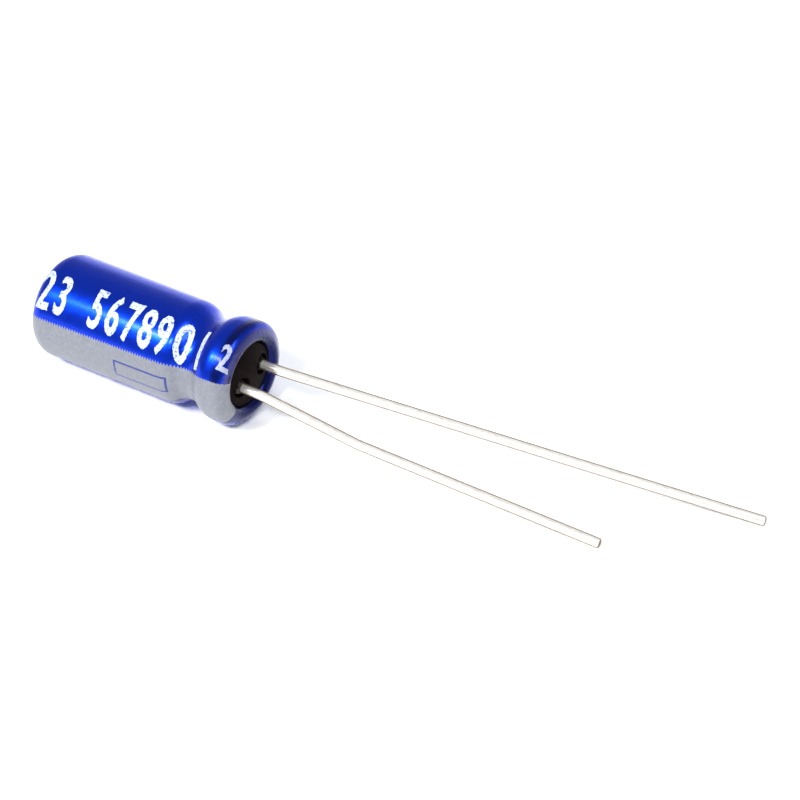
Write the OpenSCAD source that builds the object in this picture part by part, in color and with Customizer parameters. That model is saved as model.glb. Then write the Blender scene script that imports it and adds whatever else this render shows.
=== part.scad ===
// Radial electrolytic capacitor with a crimped aluminium can, lying on a bench.
// The can's axis lies along X with its leads toward +X. The origin is the centre of the
// seating plane, where the crimped lip would meet a board.
// Lengths inside the can are heights above the seating plane, toward the closed end.

/* [Can] */
// Diameter of the aluminium can
can_d = 5.0; // [4.6:0.1:6]
// Length of the aluminium can from the seating plane
can_l = 11.5; // [10.5:0.5:16]
// Wall of the can
can_wall = 0.25; // [0.2:0.01:0.27]
// Outer radius at the closed end's corner
can_corner_r = 0.8; // [0.6:0.1:1.2]
// How much wider the belly is than the can, in diameter
belly_swell = 0.08; // [0:0.02:0.16]

/* [Crimp] */
// Height of the crimped groove's middle
groove_h = 2.36; // [2.3:0.02:2.6]
// Depth of the groove below the can's wall
groove_depth = 0.47; // [0.3:0.01:0.55]
// Half of the groove's length, up to where the wall is straight again
groove_half = 1.4; // [1.2:0.05:1.5]
// Outer radius of the shoulder below the belly
lip_shoulder_r = 0.4; // [0.35:0.01:0.5]
// Slope of the lip's face
lip_slope = 24; // [10:1:40]
// Inner radius of the curled rim
rim_fold_r = 0.06; // [0.05:0.01:0.09]
// How far the rim closes the mouth, in from the can's outer wall
mouth_inset = 0.78; // [0.74:0.01:0.84]

/* [Film] */
// Thickness of the printed shrink film
film_t = 0.08; // [0.05:0.01:0.12]
// Width of the ring of film that lies flat on the closed end
film_lap = 0.15; // [0.1:0.05:0.5]

/* [Seal] */
// Height of the seal's inner face
seal_h = 3.95; // [3.9:0.05:4.3]
// Depth of the seal's outer edge inside the mouth
seal_recess = 0.15; // [0.05:0.01:0.25]
// How far the seal bulges out past the seating plane
seal_bulge = 0.15; // [0.05:0.01:0.16]

/* [Tabs and leads] */
// Distance between the two leads at the seal, as a share of the can's diameter
pitch_share = 0.34; // [0.32:0.01:0.38]
// Turn of the pair of leads about the can's axis
pair_roll = 14.5; // [0:0.5:30]
// Diameter of the tinned lead wire
lead_d = 0.5; // [0.4:0.01:0.6]
// Where both leads first bend, along the can
first_bend_x = 1.1; // [1.1:0.05:1.6]
// Radius of the first bend's centre line
bend_r = 1.5; // [1:0.1:2]
// Where the cathode lead bends again, along the can
second_bend_x = 6.5; // [5:0.1:8]
// The same, across the can
second_bend_y = -0.57; // [-0.8:0.01:-0.4]
// The same, above the can's axis
second_bend_z = -1.1; // [-1.3:0.05:-0.9]
// Radius of the cathode lead's second bend
second_bend_r = 3; // [1:0.5:5]
// Diameter of the tab's round shank, as a share of the can's diameter
shank_share = 0.2; // [0.18:0.01:0.22]
// Diameter of the weld bead between tab and wire, as a share of the shank's
bead_share = 0.8; // [0.74:0.02:0.9]
// Thickness of the tab's flattened paddle, as a share of the shank's diameter
paddle_share = 0.2; // [0.15:0.01:0.24]
// Half of the angle that the paddle covers in the winding
paddle_half_angle = 30; // [20:1:35]
// How far the paddle's end stops short of the paper's
paddle_short = 1.35; // [0.5:0.05:2.5]
// Where the anode lead's tip rests, along the can
anode_tip_x = 24.7; // [20:0.1:28]
// Where the anode lead's tip rests, across the can
anode_tip_y = 6.35; // [4:0.05:8]
// Where the cathode lead's tip rests, along the can
cathode_tip_x = 19.15; // [15:0.05:24]
// Where the cathode lead's tip rests, across the can
cathode_tip_y = 0.65; // [0:0.05:2]

/* [Winding] */
// Turns of the two separators
paper_turns = 4; // [3:1:4]
// Share of one turn's thickness that each paper separator takes
paper_share = 0.2; // [0.15:0.01:0.25]
// The same for the cathode foil. The etched anode foil takes what is left
cathode_share = 0.2; // [0.15:0.01:0.25]
// Radius of the empty core that the winding arbor leaves, as a share of the can's diameter
core_share = 0.07; // [0.06:0.005:0.08]
// How much shorter the foils are than the separators, at each end
foil_margin = 0.3; // [0.1:0.05:0.5]
// Thickness of the closing tape
tape_t = 0.05; // [0.03:0.01:0.06]
// Room between the seal and the winding
winding_gap = 0.5; // [0.4:0.05:0.7]
// Least room between the winding and the can's wall
wall_room = 0.12; // [0.05:0.01:0.2]
// Room between the winding and the can's closed end
end_room = 0.3; // [0.2:0.05:0.6]

/* [Hidden] */
$fn = 72;

// Clearance between nested pieces of the case
fit_gap = 0.02;
// Clearance between neighbouring turns
turn_gap = 0.01;
// Largest angle between points of a rounded outline, and of a turn
arc_step = 6;
turn_step = 10;

can_r = can_d / 2;
belly_r = can_r + belly_swell / 2;
mouth_r = can_r - mouth_inset;
rim_r = can_wall + rim_fold_r;
film_open_r = can_r - can_corner_r - film_lap;
lead_r = lead_d / 2;
lead_pitch = can_d * pitch_share;
shank_d = can_d * shank_share;
bead_d = shank_d * bead_share;
paddle_t = shank_d * paddle_share;
core_r = can_d * core_share;
rim_centre = [mouth_r + rim_r, rim_r];
neck_r = can_r - groove_depth;
body_bead_r = bead_radius(groove_half, groove_depth);
belly_bead_r = bead_radius(groove_half, belly_r - neck_r);
body_bead_angle = asin(groove_half / 2 / body_bead_r);
belly_bead_angle = asin(groove_half / 2 / belly_bead_r);
lip_turn = 90 - lip_slope;
shoulder_run = belly_r - lip_shoulder_r * (1 - cos(lip_turn)) - rim_centre[0] - rim_r * cos(lip_turn);
shoulder_h = rim_r + (lip_shoulder_r - rim_r) * sin(lip_turn) + shoulder_run * tan(lip_slope);
film_r = fit_gap + film_t;
floor_z = -(belly_r + film_r);
tip_z = floor_z + lead_r;

// Radius of the two equal arcs that make half of a smooth groove
function bead_radius(half, depth) = (half * half + depth * depth) / (4 * depth);

function arc(centre, r, from, to, first = 0, step = arc_step) =
    let (n = max(1, ceil(abs(to - from) / step)))
    [for (i = [first:n]) let (a = from + (to - from) * i / n) centre + r * [cos(a), sin(a)]];

function reversed(points) = [for (i = [len(points) - 1:-1:0]) points[i]];

// The closed end's corner, set off outward by d from the can's outer wall
function corner_line(d) =
    arc([can_r - can_corner_r, can_l - can_corner_r], can_corner_r + d, 90, 0);

// Groove, belly, lip face and curled rim, set off outward by d from the can's outer wall
function crimp_line(d) = concat(
    arc([can_r - body_bead_r, groove_h + groove_half], body_bead_r + d, 0, -body_bead_angle),
    arc([neck_r + body_bead_r, groove_h], body_bead_r - d, 180 - body_bead_angle, 180, 1),
    arc([neck_r + belly_bead_r, groove_h], belly_bead_r - d, 180, 180 + belly_bead_angle, 1),
    arc([belly_r - belly_bead_r, groove_h - groove_half], belly_bead_r + d, belly_bead_angle, 0, 1),
    arc([belly_r - lip_shoulder_r, shoulder_h], lip_shoulder_r + d, 0, -lip_turn),
    arc(rim_centre, rim_r + d, -lip_turn, -180));

// Lays a shape that stands on its seating plane down along X
module lie() rotate([0, -90, 0]) children();

// The same, with the anode tab at angle 0
module lie_paired() lie() rotate(90 - pair_roll) children();

module sleeve() color([0.05, 0.12, 0.62]) lie() rotate_extrude() polygon(concat(
    [[film_open_r, can_l + film_r]], corner_line(film_r), crimp_line(film_r),
    reversed(crimp_line(fit_gap)), reversed(corner_line(fit_gap)),
    [[film_open_r, can_l + fit_gap]]));

module can() color([0.78, 0.79, 0.8]) lie() rotate_extrude() polygon(concat(
    [[0, can_l]], corner_line(0), crimp_line(0),
    reversed(crimp_line(-can_wall)), reversed(corner_line(-can_wall)),
    [[0, can_l - can_wall]]));

// The seal fills the crimp from inside, passes under the rim and domes out of the mouth
seal_line_d = -can_wall - fit_gap;
seal_r = can_r + seal_line_d;
seal_chamfer = 0.1;
face_r = mouth_r - film_r - fit_gap;
under_rim_h = rim_r + fit_gap;
dome_h = seal_bulge + seal_recess;
dome_r = (face_r * face_r + dome_h * dome_h) / (2 * dome_h);
dome_half_angle = asin(face_r / dome_r);
bore_d = shank_d + 2 * fit_gap;

module rubber_seal() color([0.1, 0.1, 0.1]) lie() difference() {
    rotate_extrude() polygon(concat(
        [[0, seal_h], [seal_r - seal_chamfer, seal_h], [seal_r, seal_h - seal_chamfer]],
        crimp_line(seal_line_d),
        [[rim_centre[0] - rim_r - seal_line_d, under_rim_h], [face_r, under_rim_h]],
        arc([0, dome_r - seal_bulge], dome_r, dome_half_angle - 90, -90, 0, 2)));
    for (side = [0, 180])
        rotate(90 - pair_roll + side) translate([lead_pitch / 2, 0, -seal_bulge - 1])
            cylinder(d = bore_d, h = seal_h + seal_bulge + 2);
}

// The winding: four strips rolled together round an empty core
INNER_PAPER = 0;
ANODE = 1;
OUTER_PAPER = 2;
CATHODE = 3;
layers = 4;
// The closing tape goes once round the last turn and on over its own start
tape_overlap = 40;
tape_turns = 1 + tape_overlap / 360;
tape_build = tape_turns * (tape_t + turn_gap) + tape_t;
tape_margin = 0.8;
// Thickness of one turn's layers, without the gaps, when the winding fills the can
turn_t = (can_r - can_wall - wall_room - core_r - paddle_t - tape_build
    - (layers * (paper_turns + 1) + 1) * turn_gap) / (paper_turns + 1);
turn_pitch = turn_t + layers * turn_gap;
paper_t = turn_t * paper_share;
cathode_foil_t = turn_t * cathode_share;
anode_foil_t = turn_t - 2 * paper_t - cathode_foil_t;
strip_t = [paper_t, anode_foil_t, paper_t, cathode_foil_t];
// Where each tab is stitched: its strip, and the turn counted from the core
anode_tab_turn = 1;
cathode_tab_turn = 0.5;
// Beside a paddle the turns stay up over the first angle, then ease down over the second
edge_angle = 5;
ease_angle = 55;

paper_from = seal_h + winding_gap;
paper_to = can_l - can_wall - end_room;

// Height of a strip's inner face within the stack of one turn
function stack(strip) = strip == 0 ? 0 : stack(strip - 1) + strip_t[strip - 1] + turn_gap;

// How far the turns are lifted at this angle from a tab: 1 over its paddle, easing to 0
function bump(turns, tab_turn) =
    let (away = abs(turns - tab_turn) % 1 * 360, d = min(away, 360 - away) - paddle_half_angle)
    d <= edge_angle ? 1 : d >= edge_angle + ease_angle ? 0 :
    0.5 + 0.5 * cos(180 * (d - edge_angle) / ease_angle);

function lift(strip, turns, tab_turn, tab_strip) =
    turns > tab_turn + (strip > tab_strip ? -0.5 : 0.5) ? (paddle_t + turn_gap) * bump(turns, tab_turn) : 0;

// Inner radius of a strip after so many turns, bulged over the tabs further in
function strip_radius(strip, turns) = core_r + turn_pitch * turns + stack(strip)
    + lift(strip, turns, anode_tab_turn, ANODE) + lift(strip, turns, cathode_tab_turn, CATHODE);

function on_turn(r, turns) = r * [cos(360 * turns), sin(360 * turns)];

// Outline between two radii that both follow the turns
function band(inner, t) = concat([for (p = inner) on_turn(p[0] + t, p[1])],
                                 reversed([for (p = inner) on_turn(p[0], p[1])]));

function turn_samples(from, to) = let (n = round((to - from) * 360 / turn_step))
    [for (i = [0:n]) from + (to - from) * i / n];

function strip_line(strip, from, to, out = 0) =
    [for (u = turn_samples(from, to)) [strip_radius(strip, u) + out, u]];

module rolled(line, t, from, to)
    lie_paired() translate([0, 0, from]) linear_extrude(to - from) polygon(band(line, t));

module inner_separator() color([0.93, 0.9, 0.8])
    rolled(strip_line(INNER_PAPER, 0, paper_turns), paper_t, paper_from, paper_to);

module anode_foil() color([0.66, 0.67, 0.68])
    rolled(strip_line(ANODE, 0.75, paper_turns - 0.25), anode_foil_t,
           paper_from + foil_margin, paper_to - foil_margin);

module outer_separator() color([0.93, 0.9, 0.8])
    rolled(strip_line(OUTER_PAPER, 0, paper_turns), paper_t, paper_from, paper_to);

module cathode_foil() color([0.72, 0.73, 0.74])
    rolled(strip_line(CATHODE, 0.25, paper_turns - 0.25), cathode_foil_t,
           paper_from + foil_margin, paper_to - foil_margin);

module closing_tape() color([0.85, 0.75, 0.4])
    rolled([for (u = turn_samples(paper_turns, paper_turns + tape_turns))
                let (wrapped = u - paper_turns)
                [strip_radius(CATHODE, u) - turn_pitch * wrapped + cathode_foil_t + turn_gap
                    + (tape_t + turn_gap) * wrapped, u]],
           tape_t, paper_from + tape_margin, paper_to - tape_margin);

// Tabs: a round shank in the seal, flattened to a paddle that lies on its foil
weld_h = 0.4;
// The bead's centre lies this far out from the shank's end
weld_sink = 0.15;
// The shank is round up to this far above the seal, and the paddle runs this far into it
round_above_seal = 0.1;
paddle_root = 0.12;
flat_from = seal_h + round_above_seal;
flat_to = paper_from;
paddle_from = flat_to - paddle_root;
paddle_h = paper_to - paddle_short;

function paddle_line(strip, tab_turn) = let (half = paddle_half_angle / 360)
    strip_line(strip, tab_turn - half, tab_turn + half, strip_t[strip] + turn_gap);

module tab(strip, tab_turn) {
    flat_x = strip_radius(strip, tab_turn) + strip_t[strip] + turn_gap;
    rolled(paddle_line(strip, tab_turn), paddle_t, paddle_from, paddle_h);
    lie_paired() rotate(360 * tab_turn) {
        translate([lead_pitch / 2, 0, weld_h]) cylinder(d = shank_d, h = flat_from - weld_h);
        intersection() {
            translate([lead_pitch / 2, 0, flat_from]) cylinder(d = shank_d, h = flat_to - flat_from);
            translate([0, shank_d, 0]) rotate([90, 0, 0]) linear_extrude(2 * shank_d) polygon([
                [lead_pitch / 2 - shank_d / 2, flat_from], [lead_pitch / 2 + shank_d / 2, flat_from],
                [flat_x + paddle_t, flat_to], [flat_x, flat_to]]);
        }
    }
}

module anode_tab() color([0.75, 0.76, 0.78]) tab(ANODE, anode_tab_turn);
module cathode_tab() color([0.75, 0.76, 0.78]) tab(CATHODE, cathode_tab_turn);

// Leads: straight out of the weld, bent, and down to the bench at their tips
function unit(v) = v / norm(v);

// Length that a bend of radius r at b takes from the straight wire on each side
function setback(a, b, c, r) = r * tan(acos(unit(b - a) * unit(c - b)) / 2);

// The wire swells by this much where it is bent, and each straight runs this far into a bend
bend_swell = 0.002;
bend_seat = 0.04;

// A wire along a route of corners, drawn from its start along +Z, with a radius for each bend.
// x_axis is where this frame's X axis points, which sets the plane of the next bend.
module wire(route, radii, x_axis, i = 0) {
    into = unit(route[i + 1] - route[i]);
    last = i == len(route) - 2;
    taken_before = i == 0 ? 0 : setback(route[i - 1], route[i], route[i + 1], radii[i - 1]);
    taken_after = last ? 0 : setback(route[i], route[i + 1], route[i + 2], radii[i]);
    h = norm(route[i + 1] - route[i]) - taken_before - taken_after;
    seat_before = i == 0 ? 0 : bend_seat;
    seat_after = last ? 0 : bend_seat;
    translate([0, 0, -seat_before]) cylinder(r = lead_r, h = h + seat_before + seat_after);
    if (!last) {
        r = radii[i];
        out = unit(route[i + 2] - route[i + 1]);
        angle = acos(into * out);
        side = unit(out - into * (into * out));
        translate([0, 0, h]) rotate(atan2(side * cross(into, x_axis), side * x_axis))
            translate([r, 0, 0]) {
                rotate([90, 0, 180]) rotate_extrude(angle = angle)
                    translate([r, 0]) circle(r = lead_r + bend_swell);
                rotate([0, angle, 0]) translate([-r, 0, 0])
                    wire(route, radii, cos(angle) * side - sin(angle) * into, i + 1);
            }
    }
}

// Bead of melted metal where the wire's end meets the tab's shank, along +Z
module weld() intersection() {
    translate([0, 0, weld_sink]) sphere(d = bead_d);
    cylinder(d = 2 * bead_d, h = 2 * bead_d);
}

module lead(side, route, radii) {
    across = side * lead_pitch / 2 * [0, cos(pair_roll), sin(pair_roll)];
    weld_at = across - [weld_h, 0, 0];
    translate(weld_at) rotate([0, 90, 0]) {
        weld();
        wire(concat([weld_at, across + [first_bend_x, 0, 0]], route), radii, [0, 0, -1]);
    }
}

module anode_lead() color([0.86, 0.86, 0.88])
    lead(1, [[anode_tip_x, anode_tip_y, tip_z]], [bend_r]);

module cathode_lead() color([0.86, 0.86, 0.88])
    lead(-1, [[second_bend_x, second_bend_y, second_bend_z], [cathode_tip_x, cathode_tip_y, tip_z]],
         [bend_r, second_bend_r]);

sleeve();
can();
rubber_seal();
anode_tab();
cathode_tab();
anode_lead();
cathode_lead();
inner_separator();
anode_foil();
outer_separator();
cathode_foil();
closing_tape();
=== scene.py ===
"""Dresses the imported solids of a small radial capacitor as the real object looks.

The capacitor lies on its side with its axis along X and its leads toward +X. Pieces are
modelled in millimetres and brought to metres when they are finished.
"""

import math

import bpy
from bpy.props import (FloatProperty, FloatVectorProperty, IntProperty,
                       PointerProperty)
from mathutils import Matrix, Vector


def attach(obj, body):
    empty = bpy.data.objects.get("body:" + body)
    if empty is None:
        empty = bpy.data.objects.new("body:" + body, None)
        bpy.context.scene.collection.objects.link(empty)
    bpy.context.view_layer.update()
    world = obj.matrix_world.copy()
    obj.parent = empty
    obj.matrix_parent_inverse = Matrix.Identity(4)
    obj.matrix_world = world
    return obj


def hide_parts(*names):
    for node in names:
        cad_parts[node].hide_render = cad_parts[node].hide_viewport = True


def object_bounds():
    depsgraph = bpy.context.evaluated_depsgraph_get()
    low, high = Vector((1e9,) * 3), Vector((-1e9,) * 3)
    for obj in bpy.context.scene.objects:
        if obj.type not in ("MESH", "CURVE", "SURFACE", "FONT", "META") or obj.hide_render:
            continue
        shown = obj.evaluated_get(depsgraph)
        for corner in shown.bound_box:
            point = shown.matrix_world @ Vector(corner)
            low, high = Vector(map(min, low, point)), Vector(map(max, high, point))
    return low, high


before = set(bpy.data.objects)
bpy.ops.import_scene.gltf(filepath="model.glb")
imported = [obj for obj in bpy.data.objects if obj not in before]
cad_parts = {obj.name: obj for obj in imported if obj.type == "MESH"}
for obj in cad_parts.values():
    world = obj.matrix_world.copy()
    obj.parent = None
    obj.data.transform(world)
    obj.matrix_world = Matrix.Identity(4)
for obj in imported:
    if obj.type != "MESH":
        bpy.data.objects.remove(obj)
CAD_BOX = [list(corner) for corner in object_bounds()]

bl_info = {
    "name": "Radial Capacitor",
    "version": (1, 0, 0),
    "blender": (4, 5, 0),
    "location": "View3D > Sidebar > Capacitor",
    "description": "Models the film, print, seal and leads of a small radial capacitor",
    "category": "Add Mesh",
}

MM = 0.001
# Points nearer than this, in millimetres, are one point
SAME = 0.0005
SAME_PRINT = 0.0002
ROOT = "root"
AXIS = Vector((1, 0, 0))


# Sizes and colours

def length(name, default, description):
    return FloatProperty(name=name, description=description, default=default, min=0.0, precision=3)


def height(name, default, description):
    return FloatProperty(name=name, description=description, default=default, precision=3)


def turn(name, degrees, description):
    return FloatProperty(name=name, description=description, default=math.radians(degrees),
                         subtype="ANGLE")


def colour(name, rgb, description):
    return FloatVectorProperty(name=name, description=description, default=rgb, size=3,
                               subtype="COLOR", min=0.0, max=1.0)


def whole(name, default, description):
    return IntProperty(name=name, description=description, default=default, min=12, max=360)


def watts(name, default, description):
    return FloatProperty(name=name, description=description, default=default, unit="POWER")


def point(name, default, description):
    return FloatVectorProperty(name=name, description=description, default=default, size=3)


class CaseSettings(bpy.types.PropertyGroup):
    """The crimped can and the film round it, in millimetres."""
    can_r: length("Can radius", 2.5, "Outer radius of the aluminium can")
    can_l: length("Can length", 11.5, "From the seating plane to the closed end")
    can_wall: length("Can wall", 0.25, "Thickness of the can's wall")
    corner_r: length("Corner radius", 0.8, "Outer radius at the closed end's corner")
    belly_r: length("Belly radius", 2.54, "Outer radius of the can below the groove")
    groove_h: length("Groove height", 2.36, "Height of the groove's middle")
    groove_depth: length("Groove depth", 0.47, "Depth of the groove below the wall")
    groove_half: length("Groove half length", 1.4, "From the groove's middle to straight wall")
    shoulder_r: length("Shoulder radius", 0.4, "Outer radius of the shoulder below the belly")
    lip_slope: turn("Lip slope", 24, "Slope of the lip's face")
    rim_r: length("Rim radius", 0.31, "Outer radius of the curled rim")
    mouth_r: length("Mouth radius", 1.72, "Radius of the mouth inside the rim")
    film_t: length("Film thickness", 0.08, "Thickness of the shrink film")
    fit_gap: length("Fit gap", 0.02, "Clearance between nested pieces")
    film_lap: length("Film lap", 0.15, "Ring of film that lies flat on the closed end")
    gather: length("Gather", 0.05, "Depth of the small gathers where the film shrinks most")
    steps: whole("Steps", 192, "Steps in a full turn of the case")
    can_dull: colour("Can dull", (0.36, 0.365, 0.38), "The can's aluminium where it is dull")
    can_bright: colour("Can bright", (0.5, 0.505, 0.52), "The can's aluminium where it is bright")


class PrintSettings(bpy.types.PropertyGroup):
    """What is printed on the film."""
    digit_h: length("Digit height", 1.86, "Height of the digits")
    digit_w: length("Digit width", 0.57, "Width of the digits as a share of their font's width")
    digit_bold: length("Digit weight", 0.05, "How much the digits' strokes are thickened")
    digit_lean: height("Digit lean", -0.14, "Lean of the digits, as a slope")
    digit_turn: turn("Digit turn", 131.5, "Where the digits' middle lies round the can")
    second_turn: turn("Second row turn", 250.0, "Where the second row's middle lies round the can")
    third_turn: turn("Third row turn", 15.0, "Where the third row's middle lies round the can")
    ink_t: length("Ink thickness", 0.008, "Thickness of the white ink")
    ink_sink: length("Ink sink", 0.002, "How far the ink sinks into the film")
    ink_wear: length("Ink wear", 0.09, "How far the digits' edges stray")
    ink_wear_size: length("Ink wear size", 0.13, "Size of the strays on the digits' edges")
    stripe_top: turn("Stripe top", 161.8, "Where the silver stripe starts round the can")
    stripe_bottom: turn("Stripe bottom", 221.5, "Where the silver stripe ends round the can")
    print_twist: turn("Print twist", 0.35, "Turn of the print for each millimetre of length")
    twist_x: height("Twist place", -6.0, "Where along the can the print isn't turned")
    tooth_pitch: length("Tooth pitch", 0.15, "Pitch of the teeth on the stripe's edge")
    tooth_h: length("Tooth height", 0.14, "Height of the teeth on the stripe's edge")
    stripe_wear: length("Stripe wear", 0.012, "How far the stripe's edges stray, as a turn")
    neck_bite: turn("Neck bite", 1.5, "How far the blue reaches into the stripe under the groove")
    mark_x: height("Mark place", -4.76, "Middle of the minus mark along the can")
    mark_turn: turn("Mark turn", 190.2, "Middle of the minus mark round the can")
    mark_l: length("Mark length", 2.97, "Length of the minus mark")
    mark_w: length("Mark width", 0.9, "Width of the minus mark")
    mark_line: length("Mark line", 0.11, "Width of the minus mark's line")
    film_blue: colour("Film blue", (0.0006, 0.031, 0.54), "Metallic blue of the film")
    stripe_silver: colour("Stripe silver", (0.172, 0.181, 0.211), "Silver grey of the stripe")
    mark_navy: colour("Mark navy", (0.014, 0.03, 0.19), "Dark blue of the minus mark's line")
    # Painted reflection: the pale colour painted on the film's upper edge where it turns away
    edge_reflection: colour("Film edge", (0.24, 0.245, 0.29), "What the film shows where it turns away")
    # Painted reflection: the pale haze painted on the lip's face
    lip_face_reflection: colour("Lip haze", (0.048, 0.048, 0.165), "What the film shows on the lip's face")
    # Painted dark reflection and shade: deep navy painted at the lip's shoulder and rim and under
    # the stripe, not a colour the film has
    dark_reflection_and_shade_navy: colour("Mouth navy", (0.0006, 0.004, 0.07), "Deep blue of the gathered film")
    ink_white: colour("Ink white", (0.5, 0.54, 0.66), "White of the printed digits")
    ink_thin: colour("Ink thin", (0.25, 0.31, 0.6), "What the digits show where the ink is thin")
    ink_lip: colour("Ink on lip", (0.27, 0.29, 0.37), "Greyer ink of the digits on the lip")
    ink_bare: colour("Ink bare", (0.03, 0.1, 0.45), "What the digits show where the ink is gone")


class SealSettings(bpy.types.PropertyGroup):
    """The rubber seal in the can's mouth, in millimetres."""
    seal_h: length("Seal height", 3.95, "Height of the seal's inner face")
    chamfer: length("Chamfer", 0.1, "Chamfer of the inner face's edge")
    recess: length("Recess", 0.15, "Depth of the face's edge inside the mouth")
    bulge: length("Bulge", 0.15, "How far the face bulges out of the mouth")
    bore_r: length("Bore radius", 0.52, "Radius of the two holes")
    bore_flare: length("Bore flare", 0.05, "Rounding of the holes' edges")
    steps: whole("Steps", 128, "Steps in a full turn of the seal")
    bore_sides: whole("Bore sides", 64, "Faces round a hole")
    rubber_black: colour("Rubber black", (0.004, 0.0026, 0.0022), "Black of the rubber")


class LeadSettings(bpy.types.PropertyGroup):
    """The two wires, in millimetres."""
    pitch: length("Lead pitch", 1.7, "Distance between the two leads")
    roll: turn("Roll", 14.5, "Turn of the pair of leads about the can's axis")
    wire_r: length("Wire radius", 0.25, "Radius of the wire")
    weld_h: length("Weld height", 0.4, "Height at which wire and tab meet")
    bead_r: length("Bead radius", 0.4, "Radius of the weld bead")
    bead_sink: length("Bead sink", 0.15, "How far the bead's middle lies out from the tab")
    bead_fillet: length("Bead fillet", 0.08, "Hollow round where the bead runs out on the wire")
    bend_x: height("Bend place", 1.1, "Where both leads first bend")
    bend_r: length("Bend radius", 1.5, "Radius of the first bends")
    second_bend_r: length("Second bend radius", 3.0, "Radius of the short lead's second bend")
    second_bend: point("Second bend", (6.5, -0.57, -1.1), "Where the short lead bends again")
    long_tip: point("Long tip", (24.7, 6.35, -2.39), "Where the long lead's tip rests")
    short_tip: point("Short tip", (19.15, 0.65, -2.39), "Where the short lead's tip rests")
    sides: whole("Sides", 40, "Faces round a wire")
    bead_steps: whole("Bead steps", 48, "Steps in a full turn of a weld bead")
    tip_round: length("Tip rounding", 0.09, "Rounding of the wires' cut tips")
    tin_bright: colour("Tin", (0.96, 0.9, 0.83), "Bright tin plate")
    # Painted reflection: the dark brown painted on the wires' edges where they turn away
    tin_edge_reflection: colour("Tin edge", (0.31, 0.24, 0.195), "What the plate shows where it turns away")
    tin_streak: colour("Tin streak", (0.62, 0.5, 0.4), "Brown of the thin lines along the wires")
    # Partly painted shade: near black for the soot of the beads and the shade of the holes they sit
    # in
    weld_soot_and_shade: colour("Weld soot", (0.008, 0.007, 0.006), "Dark of the weld beads")


class StageSettings(bpy.types.PropertyGroup):
    """The floor, lights and camera."""
    floor_white: colour("Floor", (0.95, 0.95, 0.95), "Colour of the floor")
    floor_size: length("Floor size", 1.6, "Length of the floor's sides in metres")
    key: watts("Key light", 0.8, "Power of the key light")
    fill: watts("Fill light", 2.0, "Power of the fill light")
    rim: watts("Back light", 0.4, "Power of the light from behind")
    core: watts("Core lights", 0.2, "Power of the two small lights by the key")
    world: length("World light", 0.6, "Strength of the pale studio round the object")
    world_white: colour("World white", (0.9, 0.95, 1.0), "Colour of the studio round the object")
    lens: FloatProperty(name="Lens", description="Focal length of the camera", default=188.4,
                        subtype="DISTANCE_CAMERA")


# Plain numbers counted along the film: each one's middle along the can, and its size, which
# the shrunk film makes smaller on the lip. Each row has a gap where the 4 would be. The third
# row, at the back, is like the second.
DIGITS = (("2", -10.8, 1.0), ("3", -9.78, 1.0), ("5", -7.7, 1.0), ("6", -6.72, 1.0),
          ("7", -5.72, 1.0), ("8", -4.75, 1.0), ("9", -3.8, 1.0), ("0", -2.78, 1.0),
          ("1", -1.72, 1.0), ("2", -0.24, 0.68))
SECOND_DIGITS = (("1", -9.9, 1.0), ("2", -8.9, 1.0), ("3", -7.9, 1.0), ("5", -5.9, 1.0),
                 ("6", -4.9, 1.0), ("7", -3.9, 1.0), ("8", -1.85, 1.0), ("9", -0.27, 0.65))


# Outlines

def arc(centre, radius, start, end, step=3.0, first=0):
    """Points of an arc in degrees, as (radius, height) pairs."""
    count = max(1, math.ceil(abs(end - start) / step))
    turns = [math.radians(start + (end - start) * i / count) for i in range(first, count + 1)]
    return [(centre[0] + radius * math.cos(t), centre[1] + radius * math.sin(t)) for t in turns]


def bead_radius(half, depth):
    """Radius of the two equal arcs that make half of a smooth groove."""
    return (half * half + depth * depth) / (4 * depth)


def corner_line(case, out):
    """The closed end's corner, set off outward from the can's outer wall."""
    return arc((case.can_r - case.corner_r, case.can_l - case.corner_r), case.corner_r + out, 90, 0)


def crimp_line(case, out):
    """Groove, belly, lip and curled rim, set off outward from the can's outer wall."""
    neck_r = case.can_r - case.groove_depth
    body = bead_radius(case.groove_half, case.groove_depth)
    belly = bead_radius(case.groove_half, case.belly_r - neck_r)
    body_turn = math.degrees(math.asin(case.groove_half / 2 / body))
    belly_turn = math.degrees(math.asin(case.groove_half / 2 / belly))
    lip_turn = 90 - math.degrees(case.lip_slope)
    rim = (case.mouth_r + case.rim_r, case.rim_r)
    run = (case.belly_r - case.shoulder_r * (1 - math.cos(math.radians(lip_turn)))
           - rim[0] - case.rim_r * math.cos(math.radians(lip_turn)))
    shoulder_h = (case.rim_r + (case.shoulder_r - case.rim_r) * math.sin(math.radians(lip_turn))
                  + run * math.tan(case.lip_slope))
    top, low = case.groove_h + case.groove_half, case.groove_h - case.groove_half
    return (arc((case.can_r - body, top), body + out, 0, -body_turn)
            + arc((neck_r + body, case.groove_h), body - out, 180 - body_turn, 180, first=1)
            + arc((neck_r + belly, case.groove_h), belly - out, 180, 180 + belly_turn, first=1)
            + arc((case.belly_r - belly, low), belly + out, belly_turn, 0, first=1)
            + arc((case.belly_r - case.shoulder_r, shoulder_h), case.shoulder_r + out, 0, -lip_turn)
            + arc(rim, case.rim_r + out, -lip_turn, -180))


# Modelling

def settings():
    return bpy.context.scene.capacitor


def deselect():
    if bpy.context.object and bpy.context.object.mode != "OBJECT":
        bpy.ops.object.mode_set(mode="OBJECT")
    bpy.ops.object.select_all(action="DESELECT")


def edit_all(mode="VERT"):
    """Edit mode with the whole mesh selected."""
    bpy.ops.object.mode_set(mode="EDIT")
    bpy.ops.mesh.select_mode(type=mode)
    bpy.ops.mesh.select_all(action="SELECT")


def object_mode():
    bpy.ops.object.mode_set(mode="OBJECT")


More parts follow.
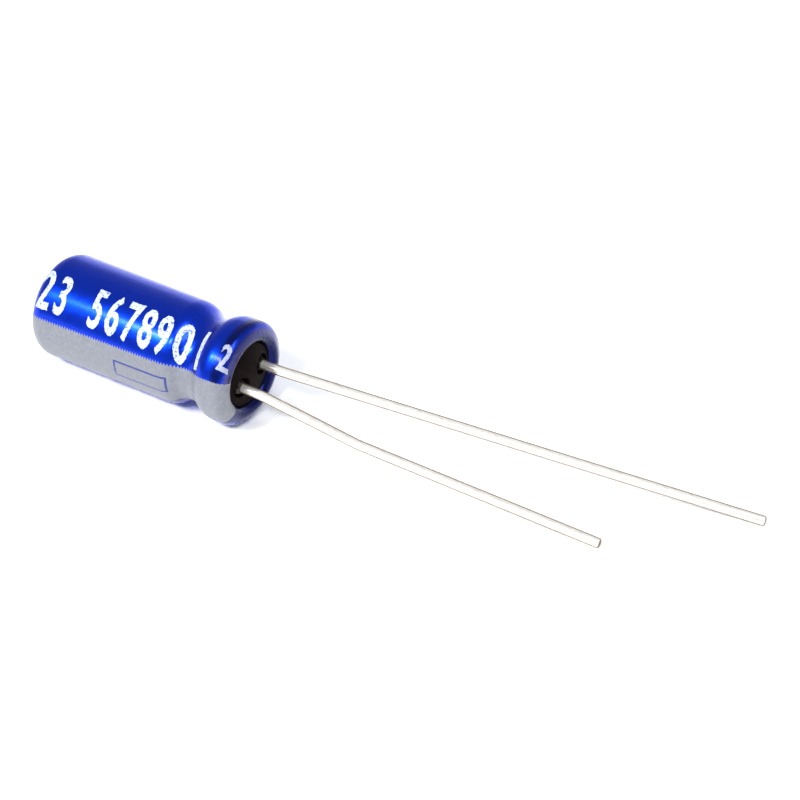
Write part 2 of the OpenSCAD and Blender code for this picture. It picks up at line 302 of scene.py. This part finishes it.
def trace(name, points):
    """A chain of edges drawn from point to point, in millimetres."""
    deselect()
    bpy.ops.mesh.primitive_plane_add(size=0.1, location=points[0])
    piece = bpy.context.object
    piece.name = piece.data.name = name
    bpy.ops.object.transform_apply(location=True, rotation=True, scale=True)
    edit_all()
    bpy.ops.mesh.merge(type="CENTER")
    for start, end in zip(points, points[1:]):
        step = Vector(end) - Vector(start)
        bpy.ops.mesh.extrude_vertices_move(TRANSFORM_OT_translate={"value": tuple(step)})
    return piece


def spin_round(piece, steps):
    """Spins the traced outline right round the can's axis into a closed skin."""
    bpy.ops.mesh.select_all(action="SELECT")
    bpy.ops.mesh.spin(steps=steps, angle=math.tau, center=(0, 0, 0), axis=tuple(AXIS))
    bpy.ops.mesh.select_all(action="SELECT")
    bpy.ops.mesh.remove_doubles(threshold=SAME)
    bpy.ops.mesh.normals_make_consistent(inside=False)
    object_mode()
    return piece


def turned(name, outline, steps):
    """A piece turned about the can's axis from (radius, height) points."""
    return spin_round(trace(name, [(-h, r, 0.0) for r, h in outline]), steps)


def modify(piece, kind, **values):
    """Adds a modifier, sets it and applies it."""
    modifier = piece.modifiers.new(kind.title(), kind)
    for key, value in values.items():
        setattr(modifier, key, value)
    deselect()
    piece.select_set(True)
    bpy.context.view_layer.objects.active = piece
    bpy.ops.object.modifier_apply(modifier=modifier.name)
    return piece


def cut_away(piece, cutter):
    """Cuts one piece out of another and takes the cutter away."""
    modify(piece, "BOOLEAN", object=cutter, operation="DIFFERENCE", solver="EXACT")
    bpy.data.objects.remove(cutter)


def finished(piece, finish, slot, *nodes, sharp=35):
    """Brings a piece to metres, smooths it, gives it its finish and ties it to the frame."""
    deselect()
    piece.select_set(True)
    bpy.context.view_layer.objects.active = piece
    bpy.ops.object.transform_apply(location=True, rotation=True, scale=True)
    piece.scale = (MM, MM, MM)
    bpy.ops.object.transform_apply(location=True, rotation=True, scale=True)
    bpy.ops.object.shade_smooth_by_angle(angle=math.radians(sharp))
    piece.data.materials.clear()
    piece.data.materials.append(finish.material)
    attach(piece, ROOT)
    if nodes:
        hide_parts(*nodes)
    return piece


# Finishes

class Signal:
    """A socket that takes part in shader maths."""

    def __init__(self, finish, socket):
        self.finish, self.socket = finish, socket

    def maths(self, operation, *values):
        return self.finish.node("ShaderNodeMath", {"operation": operation},
                                dict(enumerate((self,) + values)))

    def __add__(self, other):
        return self.maths("ADD", other)

    def __sub__(self, other):
        return self.maths("SUBTRACT", other)

    def __rsub__(self, other):
        return (self * -1) + other

    def __mul__(self, other):
        return self.maths("MULTIPLY", other)

    def __truediv__(self, other):
        return self.maths("DIVIDE", other)

    def __neg__(self):
        return self * -1

    def __abs__(self):
        return self.maths("ABSOLUTE")

    def __lt__(self, other):
        return self.maths("LESS_THAN", other)

    def __gt__(self, other):
        return self.maths("GREATER_THAN", other)

    __radd__ = __add__


def socket_label(key):
    """The shader's name for a socket, from a keyword such as coat_weight."""
    return key.replace("_", " ").title().replace("Ior", "IOR")


class Finish:
    """A material with a Principled shader, its constants set on the shader's own sockets."""

    def __init__(self, name, **constants):
        self.material = bpy.data.materials.new(name)
        self.material.use_nodes = True
        self.tree = self.material.node_tree
        self.shader = self.tree.nodes["Principled BSDF"]
        for socket, value in constants.items():
            self.shader.inputs[socket_label(socket)].default_value = value

    def node(self, kind, values=None, inputs=None, output=0):
        """Any node but the shader: its settings first, then what its sockets take."""
        made = self.tree.nodes.new(kind)
        for key, value in (values or {}).items():
            setattr(made, key, value)
        for key, value in (inputs or {}).items():
            if isinstance(value, Signal):
                self.tree.links.new(value.socket, made.inputs[key])
            else:
                made.inputs[key].default_value = value
        return Signal(self, made.outputs[output])

    def feed(self, **signals):
        for socket, signal in signals.items():
            self.tree.links.new(signal.socket, self.shader.inputs[socket_label(socket)])
        return self

    def place(self):
        """Position on the piece in millimetres."""
        coords = self.node("ShaderNodeTexCoord", output="Object")
        return self.node("ShaderNodeMapping", inputs={"Vector": coords, "Scale": (1 / MM,) * 3})

    def xyz(self, place):
        return [self.node("ShaderNodeSeparateXYZ", inputs={0: place}, output=i) for i in range(3)]

    def facing(self):
        """Rises from 0 where the surface faces the eye to 1 where it turns away."""
        return self.node("ShaderNodeLayerWeight", inputs={"Blend": 0.5}, output="Facing")

    def stretched(self, place, scale, spin=(0.0, 0.0, 0.0)):
        return self.node("ShaderNodeMapping", inputs={
            "Vector": place, "Scale": scale, "Rotation": spin})

    def noise(self, place, scale, detail=3.0, roughness=0.5):
        return self.node("ShaderNodeTexNoise", inputs={
            "Vector": place, "Scale": scale, "Detail": detail, "Roughness": roughness})

    def ramp(self, signal, low, high, to_low=0.0, to_high=1.0):
        return self.node("ShaderNodeMapRange", {"clamp": True}, {
            "Value": signal, "From Min": low, "From Max": high,
            "To Min": to_low, "To Max": to_high})

    def tint(self, mask, first, second):
        """The first colour where the mask is 0, the second where it is 1."""
        paint = {6: first if isinstance(first, Signal) else (*first, 1.0),
                 7: second if isinstance(second, Signal) else (*second, 1.0)}
        return self.node("ShaderNodeMix", {"data_type": "RGBA"}, {0: mask, **paint}, output=2)

    def bump(self, depth, signal):
        """A bump whose height is the signal times a depth in millimetres."""
        return self.node("ShaderNodeBump", inputs={
            "Height": signal, "Distance": depth * MM, "Strength": 1.0}, output="Normal")


def shade(rgb, factor):
    return tuple(min(1.0, c * factor) for c in rgb)


# Depth in millimetres of the film's bump
RELIEF = 0.02


def film_finish(look, case):
    """Glossy metallic blue film, with its serrated silver stripe and minus mark.

    The heights and radii that the ramps run between are in millimetres.
    """
    film = Finish("metallic_film", coat_roughness=0.16, coat_ior=1.5)
    place = film.place()
    x, y, z = film.xyz(place)
    # Angle down from -Y, as the twisted print has it
    twist = (x - look.twist_x) * look.print_twist
    down = (-z).maths("ARCTAN2", -y) + twist
    top = look.stripe_top - math.pi
    bottom = look.stripe_bottom - math.pi
    # The teeth shrink with the film toward the lip
    tooth = (x / look.tooth_pitch).maths("FRACT")
    saw = abs(tooth - 0.5) * film.ramp(x, -1.8, -0.9, 2.0, 0.7) * (look.tooth_h / case.can_r)
    worn = (film.noise(place, 9.0) - 0.5) * look.stripe_wear
    # Under the groove the shrunk film draws the stripe's lower edge up
    neck = film.ramp(abs(x + case.groove_h + 0.3), 0.3, 1.0, look.neck_bite, 0.0)
    stripe = (down - top > saw + worn) * (bottom - neck - down > worn)
    # The minus mark is a thin rectangle where the blue shows through the stripe
    along = abs(x - look.mark_x)
    around = abs(down - (look.mark_turn - math.pi)) * (case.can_r + 0.1)
    line = look.mark_line

    def inside(grow):
        return (along < look.mark_l / 2 + grow) * (around < look.mark_w / 2 + grow)

    mark = inside(line / 2) * (1 - inside(-line / 2))
    silver = stripe * (1 - mark)
    speckle = film.noise(place, 5.0, detail=4.0, roughness=0.6)
    cloud = film.noise(place, 1.3, detail=2.0)
    blue = film.tint(cloud, shade(look.film_blue, 0.88), shade(look.film_blue, 1.12))
    # Painted reflection: the upper edge is painted pale where it turns away from the eye, for the
    # bright studio it would reflect
    away = film.ramp(film.facing(), 0.74, 1.02) * film.ramp(z, -1.2, 0.4)
    blue = film.tint(away, blue, look.edge_reflection)
    # Painted reflection: the lip's face is painted a pale haze for the bright studio it would
    # reflect. Painted dark
    # reflections and shade: deep navy is painted at the lip's shoulder and rim, and in a band under
    # the stripe
    lip = film.ramp(x, -0.9, -0.2)
    radius = (y * y + z * z).maths("SQRT")
    face = film.ramp(radius, 2.52, 2.32) * film.ramp(x, -0.7, -0.3)
    # Painted dark reflections: a band round the lip's shoulder and the rim by the mouth
    deep = film.ramp(abs(x + 0.42), 0.36, 0.12, 0.0, 0.85)
    rim = film.ramp(radius, 2.2, 1.98) * lip
    blue = film.tint(face, blue, look.lip_face_reflection)
    # Painted shade: a band just under the stripe, painted deep navy and also made less metallic
    # below
    under = (down > bottom - neck) * film.ramp(down, bottom + 0.05, bottom + 0.35, 1.0, 0.0)
    blue = film.tint(deep.maths("MAXIMUM", rim).maths("MAXIMUM", under), blue, look.dark_reflection_and_shade_navy)
    grey = film.tint(film.ramp(speckle, 0.36, 0.7), shade(look.stripe_silver, 0.92),
                     shade(look.stripe_silver, 1.16))
    smudge = film.ramp(film.noise(place, 3.2, detail=5.0), 0.35, 0.75)
    ripple = film.noise(film.stretched(place, (0.5, 1.0, 1.0)), 2.2, detail=2.0)
    # Small gathers run along the can on the lip, in the groove and round the closed end
    folds = film.noise(film.stretched(place, (0.25, 1.0, 1.0)), 3.4, detail=2.0)
    end = film.ramp(x, -11.0, -11.5)
    groove = film.ramp(abs(x + case.groove_h), 1.5, 0.4, 0.0, 0.35)
    gathers = folds * (lip * 0.35 + end + groove) * (case.gather / RELIEF)
    relief = ripple * 0.4 + speckle * 0.06 + silver * 0.04 + gathers
    return film.feed(
        base_color=film.tint(stripe, blue, film.tint(mark, grey, look.mark_navy)),
        metallic=1.0 - stripe * 0.68 - under * 0.6,
        roughness=0.25 + smudge * 0.05 + silver * 0.2,
        coat_weight=0.2 + silver * 0.05,
        normal=film.bump(RELIEF, relief))


def ink_finish(look):
    """White ink, thin and gone in places, and greyer on the lip."""
    ink = Finish("white_ink", specular_ior_level=0.5, coat_roughness=0.1)
    place = ink.place()
    grain = ink.noise(place, 15.0, detail=4.0, roughness=0.75)
    thin = ink.ramp(grain, 0.47, 0.6)
    bare = ink.ramp(ink.noise(place, 8.0, detail=3.0, roughness=0.6), 0.585, 0.62)
    x, _, _ = ink.xyz(place)
    white = ink.tint(thin, look.ink_white, look.ink_thin)
    white = ink.tint(ink.ramp(x, -1.3, -0.6), white, look.ink_lip)
    return ink.feed(
        base_color=ink.tint(bare, white, look.ink_bare),
        roughness=0.34 + grain * 0.25,
        normal=ink.bump(0.01, grain))


def rubber_finish(look):
    """Fine-grained black rubber with a faint bloom."""
    rubber = Finish("black_rubber", specular_ior_level=0.028, specular_tint=(1.0, 0.84, 0.78, 1.0))
    place = rubber.place()
    grain = rubber.noise(place, 14.0, detail=6.0, roughness=0.65)
    bloom = rubber.ramp(rubber.noise(place, 1.1, detail=3.0), 0.35, 0.75)
    return rubber.feed(
        base_color=rubber.tint(bloom, look.rubber_black, shade(look.rubber_black, 2.2)),
        roughness=0.42 + grain * 0.22,
        normal=rubber.bump(0.02, grain))


def tin_finish(name, look, spin):
    """Bright plated wire: faint drawing lines along it, a soft mottle and painted dark reflections
    at its edges.
    """
    tin = Finish(name, metallic=0.76, specular_tint=(0.3, 0.25, 0.22, 1.0))
    place = tin.place()
    lines = tin.noise(tin.stretched(place, (0.12, 9.0, 9.0), spin), 2.0, detail=3.0)
    mottle = tin.noise(place, 1.7, detail=4.0)
    # Painted reflection: the edges are painted dark where they turn away from the eye, for the dark
    # horizon they would reflect
    away = tin.ramp(tin.facing(), 0.3, 0.52)
    bright = tin.tint(mottle, shade(look.tin_bright, 0.92), shade(look.tin_bright, 1.08))
    streaks = tin.ramp(lines, 0.52, 0.68, 0.0, 0.6)
    bright = tin.tint(streaks, bright, look.tin_streak)
    return tin.feed(
        base_color=tin.tint(away, bright, look.tin_edge_reflection),
        roughness=0.16 + lines * 0.1,
        normal=tin.bump(0.003, lines))


def weld_finish(look):
    """Dull, sooty metal of the weld beads, painted near black partly for their soot and partly as
    painted shade of the seal's holes.
    """
    weld = Finish("weld_metal", metallic=0.6, specular_ior_level=0.1,
                  specular_tint=(0.2, 0.17, 0.15, 1.0))
    place = weld.place()
    ripple = weld.noise(place, 6.0, detail=4.0)
    # Soot and painted shade: the beads are near black all over, darkest in random patches
    soot = weld.ramp(weld.noise(place, 3.0, detail=3.0), 0.4, 0.6)
    return weld.feed(
        base_color=weld.tint(soot, shade(look.tin_bright, 0.06), look.weld_soot_and_shade),
        roughness=0.4 + soot * 0.25,
        normal=weld.bump(0.12, ripple))


def metal_finish(name, rgb, roughness, lines, grain, depth):
    """Sheet or rod aluminium with marks stretched by a scale along X, Y and Z."""
    metal = Finish(name, metallic=1.0)
    place = metal.place()
    drawn = metal.noise(metal.stretched(place, lines), 3.0, detail=4.0)
    spots = metal.noise(place, grain, detail=5.0, roughness=0.7)
    return metal.feed(
        base_color=metal.tint(spots, shade(rgb, 0.88), shade(rgb, 1.06)),
        roughness=roughness + drawn * 0.12 + spots * 0.08,
        normal=metal.bump(depth, drawn + spots * 0.5))


def can_finish(look):
    """Drawn aluminium with faint turning rings round the can's axis."""
    can = Finish("drawn_aluminium", metallic=1.0)
    place = can.place()
    x, y, z = can.xyz(place)
    radius = (y * y + z * z).maths("SQRT")
    across = can.node("ShaderNodeCombineXYZ", inputs={0: radius, 1: x * 0.4})
    rings = can.noise(across, 16.0, detail=5.0)
    haze = can.noise(place, 1.6, detail=4.0)
    return can.feed(
        base_color=can.tint(haze, look.can_dull, look.can_bright),
        roughness=0.2 + rings * 0.2 + haze * 0.1,
        normal=can.bump(0.02, rings))


def paper_finish():
    paper = Finish("separator_paper", specular_ior_level=0.4)
    place = paper.place()
    fibres = paper.noise(paper.stretched(place, (1.0, 5.0, 5.0)), 8.0, detail=6.0, roughness=0.7)
    damp = paper.noise(place, 0.9, detail=3.0)
    return paper.feed(
        base_color=paper.tint(damp, (0.78, 0.71, 0.52), (0.9, 0.86, 0.72)),
        roughness=0.45 + fibres * 0.35,
        normal=paper.bump(0.02, fibres))


def tape_finish():
    tape = Finish("closing_tape", specular_ior_level=0.5)
    place = tape.place()
    streaks = tape.noise(tape.stretched(place, (6.0, 0.6, 0.6)), 2.0, detail=3.0)
    spots = tape.noise(place, 5.0, detail=4.0)
    return tape.feed(
        base_color=tape.tint(streaks, (0.72, 0.55, 0.2), (0.83, 0.7, 0.36)),
        roughness=0.22 + spots * 0.2,
        normal=tape.bump(0.01, spots))


def coat_node(node, finish):
    """Gives a solid that is carried over its finish."""
    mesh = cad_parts[node].data
    if not mesh.materials:
        mesh.materials.append(finish.material)
    for index in range(len(mesh.materials)):
        mesh.materials[index] = finish.material


# Pieces

class CAPACITOR_OT_film(bpy.types.Operator):
    """Turns the shrink film round the can"""
    bl_idname = "capacitor.film"
    bl_label = "Film"

    def execute(self, context):
        case, look = settings().case, settings().prints
        outer = case.fit_gap + case.film_t
        open_r = case.can_r - case.corner_r - case.film_lap
        outside = corner_line(case, outer) + crimp_line(case, outer)
        inside = corner_line(case, case.fit_gap) + crimp_line(case, case.fit_gap)
        outline = ([(open_r, case.can_l + outer)] + outside + inside[::-1]
                   + [(open_r, case.can_l + case.fit_gap), (open_r, case.can_l + outer)])
        film = turned("film_sleeve", outline, case.steps)
        finished(film, film_finish(look, case), "film", "sleeve", sharp=50)
        return {"FINISHED"}


class CAPACITOR_OT_print(bpy.types.Operator):
    """Prints plain white numbers along the film"""
    bl_idname = "capacitor.print"
    bl_label = "Numbers"

    def execute(self, context):
        case, look = settings().case, settings().prints
        outer = case.fit_gap + case.film_t
        former = turned("former", [(0.0, case.can_l + outer)] + corner_line(case, outer)
                        + crimp_line(case, outer), case.steps)
        ink = ink_finish(look)
        wear = bpy.data.textures.new("ink_wear", "CLOUDS")
        wear.cloud_type = "COLOR"
        wear.noise_scale = look.ink_wear_size
        rows = [(DIGITS, look.digit_turn), (SECOND_DIGITS, look.second_turn),
                (SECOND_DIGITS, look.third_turn)]
        for row, (digits, around) in enumerate(rows, 1):
            for place, (digit, x, size) in enumerate(digits, 1):
                number = print_digit(digit, x, size, around, former, wear, look)
                number.name = number.data.name = f"digit_{row}_{place}"
                finished(number, ink, "film", sharp=60)
        bpy.data.objects.remove(former)
        return {"FINISHED"}


# In millimetres: the cells that a digit is cut into so that it follows the film, half the width
# that they cover, and how far from the can's axis a digit starts
PRINT_CELL, PRINT_HALF, PRINT_START = 0.1, 0.6, 4.0


def print_digit(digit, x, size, around, former, wear, look):
    """Lays one digit of thin ink, with worn edges, on the film."""
    tall = look.digit_h * size
    deselect()
    bpy.ops.object.text_add()
    number = bpy.context.object
    number.data.body = digit
    number.data.align_x = "CENTER"
    number.data.shear = look.digit_lean
    bpy.ops.object.convert(target="CURVE")
    number = bpy.context.object
    share = tall / number.dimensions.y
    number.scale = (share * look.digit_w, share, 1)
    bpy.ops.object.transform_apply(location=False, rotation=False, scale=True)
    number.data.offset = look.digit_bold * size
    number.data.resolution_u = 5
    bpy.ops.object.convert(target="MESH")
    number = bpy.context.object
    edit_all("FACE")
    bpy.ops.transform.translate(value=(0, -tall / 2, 0))
    for axis, half in (((0, 1, 0), tall / 2 + PRINT_CELL), ((1, 0, 0), PRINT_HALF)):
        cuts = round(2 * half / PRINT_CELL)
        for i in range(cuts + 1):
            bpy.ops.mesh.select_all(action="SELECT")
            bpy.ops.mesh.bisect(plane_co=Vector(axis) * (2 * half * i / cuts - half), plane_no=axis)
    bpy.ops.mesh.select_all(action="SELECT")
    bpy.ops.mesh.remove_doubles(threshold=SAME_PRINT)
    object_mode()
    modify(number, "DISPLACE", texture=wear, texture_coords="LOCAL", direction="RGB_TO_XYZ",
           strength=look.ink_wear * size, mid_level=0.5)
    number.location = (x, PRINT_START * math.cos(around), PRINT_START * math.sin(around))
    number.rotation_euler = (around - math.pi / 2, 0, 0)
    modify(number, "SHRINKWRAP", target=former, wrap_method="PROJECT", use_project_z=True,
           use_negative_direction=True, use_positive_direction=False, offset=-look.ink_sink)
    modify(number, "SOLIDIFY", thickness=look.ink_t + look.ink_sink, offset=1.0)
    return number


# Length in millimetres of the cylinder that cuts a hole through the seal, and its middle's height
BORE_CUT, BORE_CUT_MIDDLE = 6.0, 2.0


class CAPACITOR_OT_seal(bpy.types.Operator):
    """Turns the rubber seal and bores its two holes"""
    bl_idname = "capacitor.seal"
    bl_label = "Rubber seal"

    def execute(self, context):
        case, seal = settings().case, settings().seal
        inset = -case.can_wall - case.fit_gap
        seal_r = case.can_r + inset
        face_r = case.mouth_r - case.film_t - 2 * case.fit_gap
        dome_h = seal.bulge + seal.recess
        dome_r = (face_r ** 2 + dome_h ** 2) / (2 * dome_h)
        half = math.degrees(math.asin(face_r / dome_r))
        under = case.rim_r + case.fit_gap
        outline = ([(0.0, seal.seal_h), (seal_r - seal.chamfer, seal.seal_h),
                    (seal_r, seal.seal_h - seal.chamfer)] + crimp_line(case, inset)
                   + [(case.mouth_r - inset, under), (face_r, under)]
                   + arc((0.0, dome_r - seal.bulge), dome_r, half - 90, -90, step=1.5))
        bung = turned("rubber_bung", outline, seal.steps)
        for side in (1, -1):
            across = lead_side(side)
            deselect()
            bpy.ops.mesh.primitive_cylinder_add(
                vertices=seal.bore_sides, radius=seal.bore_r, depth=BORE_CUT,
                location=across - AXIS * BORE_CUT_MIDDLE, rotation=(0, math.pi / 2, 0))
            cut_away(bung, bpy.context.object)
            # The flare is half of a cone, and follows the dome's slope at the hole
            middle = AXIS * (seal.bulge - dome_r)
            out = (across + AXIS * math.sqrt(dome_r ** 2 - across.length_squared)).normalized()
            deselect()
            bpy.ops.mesh.primitive_cone_add(
                vertices=seal.bore_sides, radius1=seal.bore_r,
                radius2=seal.bore_r + 2 * seal.bore_flare, depth=2 * seal.bore_flare,
                location=middle + out * dome_r, rotation=out.to_track_quat("Z", "Y").to_euler())
            cut_away(bung, bpy.context.object)
        finished(bung, rubber_finish(seal), "seal", "rubber_seal", sharp=40)
        return {"FINISHED"}


def lead_side(side):
    """Where a lead crosses the seating plane: side 1 is the long lead's, -1 the short one's."""
    lead = settings().leads
    return side * lead.pitch / 2 * Vector((0, math.cos(lead.roll), math.sin(lead.roll)))


# Millimetres of straight wire drawn in one stretch, and steps in a bend
WIRE_STRETCH, BEND_STEPS = 2.0, 10


def draw_wire(name, route, radii, radius, sides):
    """Draws a ring along a route of corners, with a radius for each bend."""
    into = (route[1] - route[0]).normalized()
    deselect()
    bpy.ops.mesh.primitive_circle_add(vertices=sides, radius=radius, fill_type="NGON",
                                      location=route[0],
                                      rotation=into.to_track_quat("Z", "Y").to_euler())
    wire = bpy.context.object
    wire.name = wire.data.name = name
    bpy.ops.object.transform_apply(location=True, rotation=True, scale=True)
    edit_all("EDGE")
    taken = 0.0
    for i, corner in enumerate(route[1:]):
        into = (corner - route[i]).normalized()
        last = i == len(route) - 2
        out = into if last else (route[i + 2] - corner).normalized()
        bend = into.angle(out, 0.0)
        setback = 0.0 if last else radii[i] * math.tan(bend / 2)
        run = (corner - route[i]).length - taken - setback
        stretches = max(1, round(run / WIRE_STRETCH))
        step = tuple(into * run / stretches)
        for _ in range(stretches):
            bpy.ops.mesh.extrude_region_move(TRANSFORM_OT_translate={"value": step})
        if not last:
            side = (out - into * into.dot(out)).normalized()
            centre = corner - into * setback + side * radii[i]
            bpy.ops.mesh.spin(steps=BEND_STEPS, angle=bend, center=tuple(centre),
                              axis=tuple(side.cross(into)))
        taken = setback
    return wire


def bead_line(lead):
    """A weld bead's outline: cut flat on the tab, round, then hollow where it meets the wire."""
    middle = (0.0, lead.weld_h - lead.bead_sink)
    flat = math.degrees(math.asin(lead.bead_sink / lead.bead_r))
    hollow_r = lead.wire_r + lead.bead_fillet
    swing = math.degrees(math.acos(hollow_r / (lead.bead_r + lead.bead_fillet)))
    hollow_h = middle[1] - (lead.bead_r + lead.bead_fillet) * math.sin(math.radians(swing))
    return ([(0.0, lead.weld_h)] + arc(middle, lead.bead_r, flat, -swing, step=5)
            + arc((hollow_r, hollow_h), lead.bead_fillet, 180 - swing, 180, step=8, first=1)
            + [(0.0, hollow_h)])


class CAPACITOR_OT_leads(bpy.types.Operator):
    """Draws the two bent wires, with their cut tips and weld beads"""
    bl_idname = "capacitor.leads"
    bl_label = "Leads"

    def execute(self, context):
        lead = settings().leads
        weld = weld_finish(lead)
        wires = (
            ("anode", "anode_lead", 1, [Vector(lead.long_tip)], [lead.bend_r]),
            ("cathode", "cathode_lead", -1, [Vector(lead.second_bend), Vector(lead.short_tip)],
             [lead.bend_r, lead.second_bend_r]),
        )
        for name, node, side, route, radii in wires:
            across = lead_side(side)
            route = [across - AXIS * lead.weld_h, across + AXIS * lead.bend_x] + route
            wire = draw_wire(name + "_wire", route, radii, lead.wire_r, lead.sides)
            bpy.ops.mesh.bevel(offset=lead.tip_round, segments=3, affect="EDGES")
            bpy.ops.mesh.select_all(action="SELECT")
            bpy.ops.mesh.normals_make_consistent(inside=False)
            object_mode()
            bead = turned(name + "_bead", bead_line(lead), lead.bead_steps)
            bead.location = across
            finished(bead, weld, "lead")
            along = (route[-1] - route[-2]).normalized()
            spin = (0.0, math.asin(along.z), -math.atan2(along.y, along.x))
            finished(wire, tin_finish(name + "_tin", lead, spin), "lead", node)
        return {"FINISHED"}


class CAPACITOR_OT_metals(bpy.types.Operator):
    """Finishes the can and the two tabs"""
    bl_idname = "capacitor.metals"
    bl_label = "Can and tabs"

    def execute(self, context):
        coat_node("can", can_finish(settings().case))
        tab = metal_finish("tab_aluminium", (0.78, 0.79, 0.81), 0.22, (0.4, 6.0, 6.0), 7.0, 0.006)
        for node in ("anode_tab", "cathode_tab"):
            coat_node(node, tab)
        return {"FINISHED"}


class CAPACITOR_OT_winding(bpy.types.Operator):
    """Finishes the foils, papers and tape of the winding"""
    bl_idname = "capacitor.winding"
    bl_label = "Winding"

    def execute(self, context):
        paper = paper_finish()
        coat_node("inner_separator", paper)
        coat_node("outer_separator", paper)
        coat_node("anode_foil", metal_finish("etched_foil", (0.6, 0.61, 0.62), 0.5,
                                             (8.0, 1.0, 1.0), 18.0, 0.012))
        coat_node("cathode_foil", metal_finish("cathode_foil", (0.74, 0.75, 0.77), 0.3,
                                               (9.0, 0.7, 0.7), 9.0, 0.006))
        coat_node("closing_tape", tape_finish())
        return {"FINISHED"}


# Each light's name, power setting, shape, place and size in metres. The two small ones give the
# bright cores in the highlights of the wall and the belly. All of them point at the origin.
LIGHTS = (("key", "key", "ELLIPSE", (-0.088, -0.21, 0.2), (0.08, 0.055)),
          ("wall_core", "core", "ELLIPSE", (-0.138, -0.176, 0.2025), (0.03, 0.03)),
          ("belly_core", "core", "ELLIPSE", (0.03, -0.19, 0.2), (0.02, 0.02)),
          ("fill", "fill", "RECTANGLE", (0.28, -0.1, 0.5), (0.3, 0.3)),
          ("back", "rim", "RECTANGLE", (0.0, 0.5, 0.07), (0.9, 0.2)))

# The camera's place, and its right, up and back directions as columns
CAMERA_PLACE = (0.095941, -0.132088, 0.115758)
CAMERA_AXES = Matrix(((0.8339, -0.3221, 0.4482),
                      (0.5519, 0.4866, -0.6772),
                      (0.0, 0.8121, 0.5835)))


class CAPACITOR_OT_stage(bpy.types.Operator):
    """Lays the floor, hangs the lights and sets the camera"""
    bl_idname = "capacitor.stage"
    bl_label = "Stage"

    def execute(self, context):
        look = settings().stage
        scene = context.scene
        deselect()
        bpy.ops.mesh.primitive_plane_add(size=look.floor_size, location=(0, 0, CAD_BOX[0][2]))
        floor = context.object
        floor.name = floor.data.name = "floor"
        pale = Finish("floor", roughness=0.6, specular_ior_level=0.2)
        place = pale.place()
        tone = pale.noise(place, 0.02, detail=2.0)
        pale.feed(base_color=pale.tint(tone, shade(look.floor_white, 0.99), look.floor_white))
        floor.data.materials.append(pale.material)

        world = bpy.data.worlds.new("studio")
        scene.world = world
        world.use_nodes = True
        back = world.node_tree.nodes["Background"]
        back.inputs["Color"].default_value = (*look.world_white, 1.0)
        back.inputs["Strength"].default_value = look.world

        for name, power, shape, place, size in LIGHTS:
            self.light(name, getattr(look, power), shape, place, size)

        bpy.ops.object.camera_add(location=CAMERA_PLACE)
        camera = context.object
        camera.name = camera.data.name = "camera"
        camera.rotation_euler = CAMERA_AXES.to_euler()
        camera.data.sensor_width = 36.0
        camera.data.lens = look.lens
        camera.data.clip_start = 0.01
        scene.camera = camera
        scene.view_settings.view_transform = "Standard"
        return {"FINISHED"}

    def light(self, name, power, shape, place, size):
        bpy.ops.object.light_add(type="AREA", location=place)
        light = bpy.context.object
        light.name = light.data.name = name
        light.data.shape = shape
        light.data.size, light.data.size_y = size
        light.data.energy = power
        aim = Vector(place) * -1
        light.rotation_euler = aim.to_track_quat("-Z", "Y").to_euler()


class CapacitorSettings(bpy.types.PropertyGroup):
    """All the sizes and colours of the capacitor."""
    case: PointerProperty(type=CaseSettings)
    prints: PointerProperty(type=PrintSettings)
    seal: PointerProperty(type=SealSettings)
    leads: PointerProperty(type=LeadSettings)
    stage: PointerProperty(type=StageSettings)


PIECES = (CAPACITOR_OT_film, CAPACITOR_OT_print, CAPACITOR_OT_seal, CAPACITOR_OT_leads,
          CAPACITOR_OT_metals, CAPACITOR_OT_winding, CAPACITOR_OT_stage)


class VIEW3D_PT_capacitor(bpy.types.Panel):
    """Lists the capacitor's pieces in the 3D view's sidebar"""
    bl_label = "Capacitor"
    bl_space_type = "VIEW_3D"
    bl_region_type = "UI"
    bl_category = "Capacitor"

    def draw(self, context):
        for piece in PIECES:
            self.layout.operator(piece.bl_idname)


CLASSES = (CaseSettings, PrintSettings, SealSettings, LeadSettings, StageSettings,
           CapacitorSettings) + PIECES + (VIEW3D_PT_capacitor,)


def register():
    for cls in CLASSES:
        bpy.utils.register_class(cls)
    bpy.types.Scene.capacitor = PointerProperty(type=CapacitorSettings)


def unregister():
    del bpy.types.Scene.capacitor
    for cls in reversed(CLASSES):
        bpy.utils.unregister_class(cls)


def main():
    register()
    bpy.ops.capacitor.film()
    bpy.ops.capacitor.print()
    bpy.ops.capacitor.seal()
    bpy.ops.capacitor.leads()
    bpy.ops.capacitor.metals()
    bpy.ops.capacitor.winding()
    bpy.ops.capacitor.stage()


if __name__ == "__main__":
    main()
